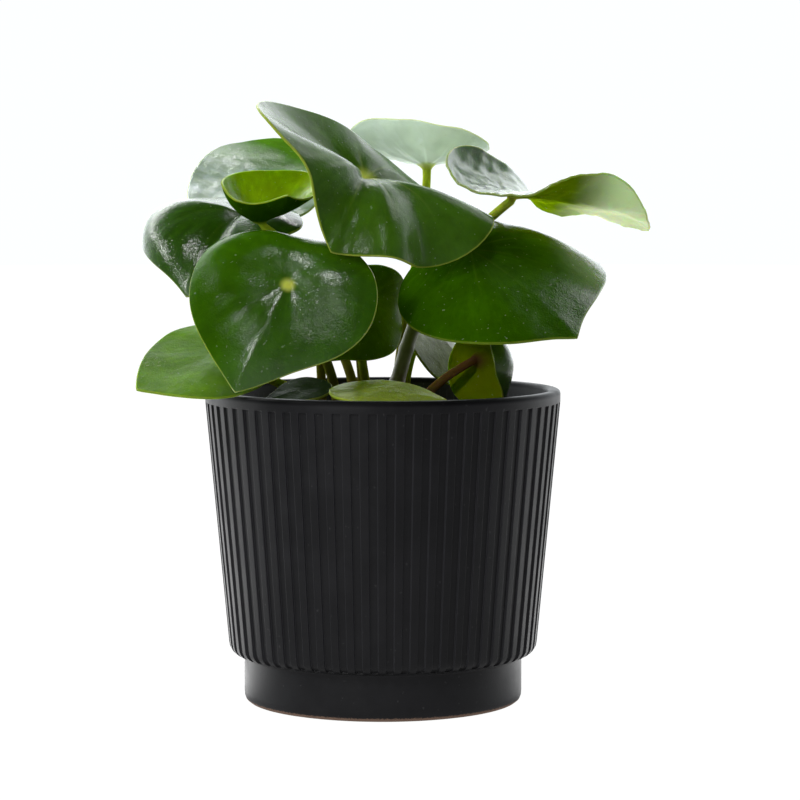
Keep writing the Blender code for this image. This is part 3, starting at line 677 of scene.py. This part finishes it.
def stalk_line(leaf, stem_end, stem_way):
    """Middle line of the stalk in mm, from just under the hub down to its foot in the soil or the stem."""
    up = Vector(leaf["up"]).normalized()
    top = Vector(leaf["hub"]) - up * (BLADE_THICK + COLLAR)
    foot, start = stem_end, stem_way
    if leaf["foot"]:
        foot, start = Vector((*leaf["foot"], SOIL_LINE + CLEAR_OF_SOIL)), Vector((0, 0, 1))
    arrive = Vector(leaf.get("arrive", leaf["up"])).normalized()
    span = (top - foot).length
    corners = (top, top - arrive * span * EASE_AT_HUB, foot + start * span * EASE_AT_FOOT, foot)
    line = []
    for k in range(STALK_ROWS):
        t = k / (STALK_ROWS - 1)
        weights = ((1 - t) ** 3, 3 * t * (1 - t) ** 2, 3 * t * t * (1 - t), t ** 3)
        line.append(sum((p * w for p, w in zip(corners, weights)), Vector()))
    if leaf["foot"]:
        line.append(Vector((*leaf["foot"], SOIL_LINE - HOLE_DEPTH + GAP)))
    else:
        line.append(foot - start * INTO_STEM)
    return line


def leaf_rows(leaf, look, phase, stem_end, stem_way):
    """All rows of a leaf's skin in mm: upper face, rounded margin, underside, flare, stalk and foot.
    Beside them the place of each point on the flat leaf, its share of the reach, and its kind: 0 on the
    upper face, 1 on the underside, 2 at the top of the stalk, 3 at its foot, and steps between."""
    turn = 2 * pi * np.arange(SPOKES) / SPOKES
    angle = turn - SPOKE_CROWDING * np.sin(turn)
    reach = outline(leaf, angle)
    shares = 1 - (1 - np.linspace(0, 1, BLADE_ROWS)) ** ROW_CROWDING
    shares = shares * (1 - 0.5 * BLADE_THICK / reach.mean())
    upper, facing, outward = blade_face(leaf, look, angle, shares, reach, phase)
    rows, flats, kinds = [], [], []

    def add(row, share, kind):
        rows.append(np.broadcast_to(row, (SPOKES, 3)))
        flats.append(np.stack([np.cos(angle) * reach * share, np.sin(angle) * reach * share,
                               np.full(SPOKES, share)], axis=1))
        kinds.append(np.full(SPOKES, kind, float))

    for k, share in enumerate(shares):
        add(upper[k], share, 0)
    half = BLADE_THICK / 2
    for degrees in MARGIN_TURNS:
        lean = radians(degrees)
        add(upper[-1] - facing[-1] * half + facing[-1] * half * cos(lean) + outward[-1] * half * sin(lean),
            1.0, degrees / 180)
    foot_radius, hub_radius = leaf["stalk"]
    flare = FLARE_WIDTH * hub_radius
    swollen = BLADE_THICK + HUB_SWELL * np.exp(-(shares / HUB_SPREAD) ** 2)
    lower = upper - facing * swollen[:, None, None]
    last = int(np.searchsorted(shares * reach.mean(), flare))
    for k in range(len(shares) - 1, last - 1, -1):
        add(lower[k], shares[k], 1)
    tip, _, up = leaf_axes(leaf)
    line = stalk_line(leaf, stem_end, stem_way)
    under_hub = np.array(leaf["hub"]) - up * (BLADE_THICK + FLARE_START)
    down = unit(np.array(line[1] - line[0]))
    for k in range(1, FLARE_ROWS + 1):
        t = k / (FLARE_ROWS + 1)
        wide = hub_radius + (flare - hub_radius) * (1 - sin(t * pi / 2))
        centre = under_hub + down * ((1 - cos(t * pi / 2)) * FLARE_DEPTH)
        inner = centre + spoke_ways(leaf, angle) * wide
        straight = lower[last] + (inner - lower[last]) * t
        weight = t * t * (3 - 2 * t)
        add(straight * (1 - weight) + inner * weight, flare / reach.mean() * (1 - t), 1 + t)
    frames = carried_frames(line, Vector(tip))
    for k in range(1, len(line)):
        across, other = (np.array(way) for way in frames[k])
        share = k / (len(line) - 1)
        radius = hub_radius + (foot_radius - hub_radius) * share
        around = np.cos(angle)[:, None] * across - np.sin(angle)[:, None] * other
        add(np.array(line[k]) + around * radius, 0.0, 2 + share)
    add(np.array(line[-1]), 0.0, 3)
    return np.array(rows), np.array(flats), np.array(kinds)


def note_on_points(skin, name, values):
    """Keeps one value or three for every point of the skin, where the material can read them."""
    three = values.ndim == 2
    mark = skin.data.attributes.new(name, "FLOAT_VECTOR" if three else "FLOAT", "POINT")
    mark.data.foreach_set("vector" if three else "value", values.astype(np.float32).ravel())


def blend_value(tree, share, first, second):
    return add_node(tree, "ShaderNodeMix", {"data_type": "FLOAT"}, i0=share, i2=first, i3=second).outputs[0]


def tinted(colour, factor, lift=0):
    return tuple(value * factor + lift for value in colour)


def vein_lines(tree, look, turn, run, share):
    """Strength of the veins that fan out from the hub, bent towards the tip and fading to the margin."""
    bent = plus(tree, turn, times(tree, times(tree, share, VEIN_BEND), reckon(tree, "SINE", turn)))
    fold = reckon(tree, "ABSOLUTE", reckon(tree, "SINE", times(tree, bent, VEINS / 2)))
    off_vein = times(tree, times(tree, fold, run), 2 / VEINS)
    return times(tree, fade(tree, off_vein, 0.1, 0.75, look["veins"], 0), fade(tree, share, 0.05, 0.8, 1, 0))


def upper_green(tree, look, cloud, mottle, turn, share, vein):
    """Clouded, mottled green with paler streaks that run out from the hub, and veins."""
    top = look["top"]
    fan = add_node(tree, "ShaderNodeCombineXYZ", X=reckon(tree, "COSINE", turn), Y=reckon(tree, "SINE", turn),
                   Z=times(tree, share, 0.35)).outputs[0]
    green = blend_colour(tree, fade(tree, cloud, 0.3, 0.72), top, tinted(top, 1.6))
    green = blend_colour(tree, fade(tree, mottle, 0.35, 0.8, 0, 0.25), green, tinted(top, 0.55))
    green = blend_colour(tree, fade(tree, speckle(tree, fan, 7, 4, 0.7), 0.48, 0.7, 0, 0.35), green,
                         tinted(top, 2.1))
    return blend_colour(tree, vein, green, VEIN_GREEN)


def under_green(tree, look, cloud, vein, x):
    """Plainer green with lighter veins; on some leaves the underside is painted very pale towards the tip, as
    light through the leaf.
    """
    below = look["under"]
    green = blend_colour(tree, fade(tree, cloud, 0.3, 0.7), below, tinted(below, 1.3))
    green = blend_colour(tree, vein, green, tinted(below, 1.8, 0.02))
    # Painted light: the underside is painted pale towards the tip, where light shines through it.
    if look["backlit_tip"]:
        green = blend_colour(tree, fade(tree, x, 18, 40, 0, look["backlit_tip"]), green, BACKLIT_TIP_GREEN)
    return green


def leaf_material(name, look):
    """Glossy pebbled skin over flesh that lets light through, with a pale hub, veins and margin."""
    material, tree, shader = new_material(name)
    place = object_place(tree)
    flat = add_node(tree, "ShaderNodeAttribute", {"attribute_name": "flat_place"}).outputs["Vector"]
    kind = add_node(tree, "ShaderNodeAttribute", {"attribute_name": "kind"}).outputs["Fac"]
    x, y, share = parts_of(tree, flat)
    turn = reckon(tree, "ARCTAN2", y, x)
    run = reckon(tree, "SQRT", plus(tree, times(tree, x, x), times(tree, y, y)))
    under = fade(tree, kind, 0.4, 0.6)
    cloud = speckle(tree, place, 42, 3, 0.55)
    mottle = speckle(tree, place, 420, 3, 0.6)
    vein = vein_lines(tree, look, turn, run, share)
    green = upper_green(tree, look, cloud, mottle, turn, share, vein)
    colour = blend_colour(tree, under, green, under_green(tree, look, cloud, vein, x))
    dust = fade(tree, speckle(tree, place, 900, 0, 0.5), 0.78, 0.83, 0, 0.3)
    colour = blend_colour(tree, dust, colour, LEAF_DUST)
    kept = fade(tree, x, -25, 22, 1 - look["clear_end"], 1)
    # Painted sheen: a bluish-grey blend over the green that stands in for light reflected off the skin.
    if look["sheen_paint"]:
        sheen_patches = fade(tree, speckle(tree, place, 90, 3, 0.6), 0.3, 0.75, 0.3 * look["sheen_paint"], look["sheen_paint"])
        colour = blend_colour(tree, times(tree, sheen_patches, kept), colour, PAINTED_SHEEN_GREY)
    off_hub = add_node(tree, "ShaderNodeVectorMath", {"operation": "DISTANCE"}, i0=flat,
                       i1=(look["spot_at"], 0, 0)).outputs["Value"]
    colour = blend_colour(tree, fade(tree, off_hub, 0.8, look["wide"], look["spot"], 0), colour, HUB_GREEN)
    margin = tuple(dark * 0.4 + pale for dark, pale in zip(look["top"], MARGIN_GREEN))
    colour = blend_colour(tree, fade(tree, share, 0.98, 0.995, 0, look["edge"]), colour, margin)
    stalk = blend_colour(tree, fade(tree, kind, 2, 3), look["stalk"], look["foot"])
    stalk = blend_colour(tree, fade(tree, mottle, 0.45, 0.7, 0, 0.35), stalk, STALK_FLECKS)
    colour = blend_colour(tree, fade(tree, kind, 1, 2), colour, stalk)
    tree.links.new(colour, shader.inputs["Base Color"])
    shader.inputs["Subsurface Weight"].default_value = look["flesh"]
    shader.inputs["Subsurface Radius"].default_value = look["depth"]
    shader.inputs["Subsurface Scale"].default_value = MM
    roughness = blend_value(tree, under, fade(tree, cloud, 0.3, 0.75, 0.15, 0.23), 0.5)
    tree.links.new(roughness, shader.inputs["Roughness"])
    shine = times(tree, fade(tree, kind, 0.4, 0.6, look["gloss"], 0), fade(tree, off_hub, 1, 5, 0.15, 1))
    shine = times(tree, shine, fade(tree, y, -16, 1, 1 - look["dull_side"], 1))
    tree.links.new(times(tree, shine, kept), shader.inputs["Specular IOR Level"])
    ripple = bumps(tree, speckle(tree, place, 260, 2, 0.5), 0.6, 0.0003)
    pebbles = bumps(tree, speckle(tree, place, 1500, 2, 0.6), 0.6, 0.00016, Normal=ripple)
    tree.links.new(pebbles, shader.inputs["Normal"])
    return material


below_top, stem_top = (Vector(p) for p in STEM_ROUTE[-2:])
stem_way = (stem_top - below_top).normalized()
aside = Vector(BRANCH_ASIDE)
aside = (aside - stem_way * aside.dot(stem_way)).normalized()
leave_way = (aside + stem_way * BRANCH_RISE).normalized()
stand_off = STEM_RADII[1] + GAP + LEAVES["leaf_h"]["stalk"][0] * leave_way.dot(stem_way)
ON_STEM = {
    "leaf_g": (stem_top + stem_way * GAPS_ON_TOP * GAP, stem_way),
    "leaf_h": (below_top + (stem_top - below_top) * BRANCH_SHARE + aside * stand_off, leave_way),
}
for number, (name, leaf) in enumerate(LEAVES.items()):
    look = LOOKS[name]
    rows, flats, kinds = leaf_rows(leaf, look, PHASE_STEP * number, *ON_STEM.get(name, (None, None)))
    piece, row, column = roll_sheet("grown_" + name, rows * MM)
    note_on_points(piece, "flat_place", flats[row, column])
    note_on_points(piece, "kind", kinds[row, column])
    close_skin()
    piece.data.materials.append(leaf_material("skin_of_" + name, look))
    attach(piece, "root")
    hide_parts(name)

# Studio. The plant stands on a white light table in front of a bright white wall. Broad soft light comes from
# behind and from both sides. Narrow lamps above, at the left and low in front make the streaks on the leaves.
CAMERA_PLACE = (0.0065, -1.1, 0.1966)
CAMERA_PITCH = 4.265
CAMERA_LENS = 130.4
CAMERA_SENSOR = 36
TABLE_RADIUS = 6
TABLE_SEEN = 1.0
TABLE_GREY = (0.05, 0.05, 0.05, 1)
WALL_SEEN = 1.06
WALL_WHITE = (0.93, 0.97, 1, 1)
LAMPS = {
    "high_light": dict(place=(-0.03, -0.8, 0.97), aim=(-0.03, -0.05, 0.17), size=(0.26, 0.04), watts=2.3,
                       roll=55),
    "ridge_light": dict(place=(-0.9, -0.66, 0.83), aim=(-0.1, -0.05, 0.18), size=(0.3, 0.035), watts=3.6,
                        roll=-42),
    "left_strip": dict(place=(-1.0, -0.06, 0.91), aim=(-0.05, -0.03, 0.17), size=(1.0, 0.05), watts=4),
    "left_panel": dict(place=(-0.72, 0.64, 0.91), aim=(-0.05, -0.03, 0.17), size=(0.95, 0.35), watts=4.2),
    "right_panel": dict(place=(0.73, 0.32, 1.1), aim=(0.07, -0.03, 0.17), size=(0.5, 0.5), watts=2.4),
    "low_light": dict(place=(-0.55, -1.11, 0.4), aim=(-0.03, -0.05, 0.15), size=(0.24, 0.045), watts=3,
                      roll=39),
    "front_panel": dict(place=(0.0, -1.28, 0.6), aim=(-0.03, -0.05, 0.15), size=(0.3, 0.2), watts=0.6),
    "back_light": dict(place=(0.02, 0.78, 1.12), aim=(-0.04, 0.03, 0.18), size=(0.08, 0.08), watts=1),
}


def only_seen(tree, seen_strength, strength):
    """One strength for the camera to see, and another for the light that falls on the plant."""
    seen = add_node(tree, "ShaderNodeLightPath").outputs["Is Camera Ray"]
    return blend_value(tree, seen, strength, seen_strength)


def beside(tree, direction, slant, low, strength):
    """Light from behind, strongest where its middle lies: slant is how far to the right that is."""
    towards = add_node(tree, "ShaderNodeVectorMath", {"operation": "DOT_PRODUCT"}, i0=direction,
                       i1=(slant, (1 - slant * slant) ** 0.5, 0)).outputs["Value"]
    return fade(tree, towards, low, 1, 0, strength)


def table_material():
    material, tree, shader = new_material("lit_white_table")
    place = object_place(tree)
    way = add_node(tree, "ShaderNodeVectorMath", {"operation": "NORMALIZE"}, i0=place).outputs[0]
    far = add_node(tree, "ShaderNodeVectorMath", {"operation": "LENGTH"}, i0=place).outputs["Value"]
    lit = plus(tree, beside(tree, way, -0.6, 0.4, 1.8), beside(tree, way, 0.6, 0.4, 1.1))
    lit = times(tree, plus(tree, lit, 0.32), fade(tree, far, 0.1, 0.9, 1.6, 0.7))
    shader.inputs["Base Color"].default_value = TABLE_GREY
    shader.inputs["Roughness"].default_value = 0.8
    shader.inputs["Specular IOR Level"].default_value = 0.0
    shader.inputs["Emission Color"].default_value = (1, 1, 1, 1)
    tree.links.new(only_seen(tree, TABLE_SEEN, lit), shader.inputs["Emission Strength"])
    return material


bpy.ops.object.select_all(action="DESELECT")
bpy.ops.mesh.primitive_circle_add(vertices=96, radius=TABLE_RADIUS, fill_type="NGON")
light_table = bpy.context.object
light_table.name = "light_table"
light_table.data.materials.append(table_material())

world = bpy.data.worlds.new("studio")
bpy.context.scene.world = world
world.use_nodes = True
tree = world.node_tree
direction = add_node(tree, "ShaderNodeTexCoord").outputs["Generated"]
backwards, upwards = parts_of(tree, direction)[1:]
behind = times(tree, fade(tree, backwards, 0, 0.75, 0, 2.7), fade(tree, upwards, 0.5, 0.88, 1, 0.08))
left = beside(tree, direction, -0.85, 0.3, 0.9)
right = beside(tree, direction, 0.85, 0.3, 0.4)
glow = plus(tree, plus(tree, behind, left), plus(tree, right, 0.03))
background = tree.nodes["Background"]
background.inputs["Color"].default_value = WALL_WHITE
tree.links.new(only_seen(tree, WALL_SEEN, glow), background.inputs["Strength"])

for name, lamp in LAMPS.items():
    bpy.ops.object.light_add(type="AREA", location=lamp["place"])
    light = bpy.context.object
    light.name = name
    light.data.shape = "RECTANGLE"
    light.data.size, light.data.size_y = lamp["size"]
    light.data.energy = lamp["watts"]
    turn = (Vector(lamp["aim"]) - Vector(lamp["place"])).to_track_quat("-Z", "Y")
    roll = Quaternion((0, 0, 1), radians(lamp.get("roll", 0)))
    light.rotation_euler = (turn @ roll).to_euler()

bpy.ops.object.camera_add(location=CAMERA_PLACE, rotation=(radians(90 - CAMERA_PITCH), 0, 0))
camera = bpy.context.object
camera.data.lens = CAMERA_LENS
camera.data.sensor_width = CAMERA_SENSOR
bpy.context.scene.camera = camera
bpy.context.scene.view_settings.view_transform = "Standard"
